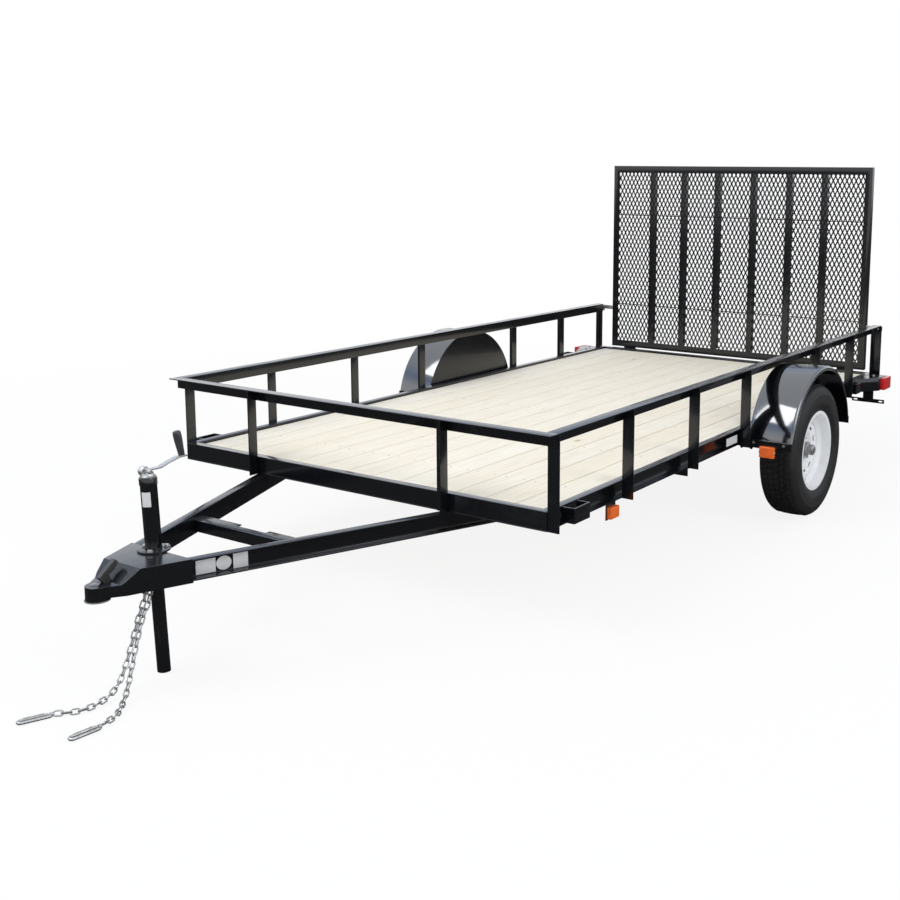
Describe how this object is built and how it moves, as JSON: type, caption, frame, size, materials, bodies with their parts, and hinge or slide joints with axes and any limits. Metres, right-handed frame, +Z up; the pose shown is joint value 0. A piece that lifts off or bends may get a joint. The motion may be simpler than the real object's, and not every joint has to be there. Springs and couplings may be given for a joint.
{
  "type": "utility trailer",
  "caption": "Open single-axle utility trailer with angle-iron rails, board deck, A-frame tongue with jack and ball coupler, round fenders and a hinged mesh ramp gate.",
  "frame": {"origin": "on the floor under the middle of the trailer's bounding box, jack leg and tyres on the floor", "axes": "+Z up; the coupler points to -Y and the ramp gate is at +Y; +X is the trailer's left (road) side"},
  "size_m": [2.454, 5.1898, 1.767],
  "materials": {
    "black_paint": "gloss black enamel over rolled steel",
    "treated_wood": "new pale treated pine, lengthwise boards",
    "zinc_steel": "zinc plated steel",
    "black_plastic": "matt black moulded plastic",
    "amber_lens": "amber lamp lens",
    "red_lens": "red lamp lens",
    "hub_grey": "grey cast hub and grease cap",
    "rim_paint": "white painted pressed steel rim",
    "tyre_rubber": "black road tyre"
  },
  "bodies": {
    "chassis": {"frame_sides": "black_paint", "frame_ends": "black_paint", "deck_bearers": "black_paint", "deck_boards": "treated_wood", "under_beam": "black_paint", "front_rail": "black_paint", "side_rails": "black_paint", "side_posts": "black_paint", "front_posts": "black_paint", "tongue_beams": "black_paint", "tongue_cross": "black_paint", "coupler_body": "black_paint", "coupler_latch": "zinc_steel", "jack_tube": "black_paint", "jack_flange": "zinc_steel", "jack_crank": "zinc_steel", "jack_grip": "black_plastic", "chain_left": "zinc_steel", "chain_right": "zinc_steel", "chain_hooks": "zinc_steel", "axle_beam": "black_paint", "leaf_springs": "black_paint", "spring_hangers": "black_paint", "spring_ties": "black_paint", "fender_left": "black_paint", "fender_right": "black_paint", "fender_backs": "black_paint", "fender_plates": "black_paint", "light_brackets": "black_paint", "marker_lenses": "amber_lens", "tail_boxes": "black_plastic", "tail_lenses": "red_lens", "stake_pockets": "black_paint", "hinge_ears": "black_paint"},
    "jack_stand": {"jack_leg": "black_paint"},
    "wheel_left": {"hub_left": "hub_grey", "rim_left": "rim_paint", "tyre_left": "tyre_rubber"},
    "wheel_right": {"hub_right": "hub_grey", "rim_right": "rim_paint", "tyre_right": "tyre_rubber"},
    "ramp_gate": {"gate_frame": "black_paint", "gate_bars": "black_paint", "gate_mesh": "black_paint", "gate_latches": "black_paint", "hinge_knuckles": "black_paint"}
  },
  "joints": [
    {"name": "wheel_left_spin", "type": "hinge", "parent": "chassis", "child": "wheel_left", "pos_m": [1.114, 0.898, 0.338], "axis": [1, 0, 0], "continuous": true},
    {"name": "wheel_right_spin", "type": "hinge", "parent": "chassis", "child": "wheel_right", "pos_m": [-1.114, 0.898, 0.338], "axis": [1, 0, 0], "continuous": true},
    {"name": "gate_hinge", "type": "hinge", "parent": "chassis", "child": "ramp_gate", "pos_m": [0, 2.455, 0.484], "axis": [-1, 0, 0], "range_deg": [0, 110]},
    {"name": "jack_slide", "type": "slide", "parent": "chassis", "child": "jack_stand", "axis": [-0.0558, 0, 0.9984], "range_m": [0, 0.235]}
  ]
}
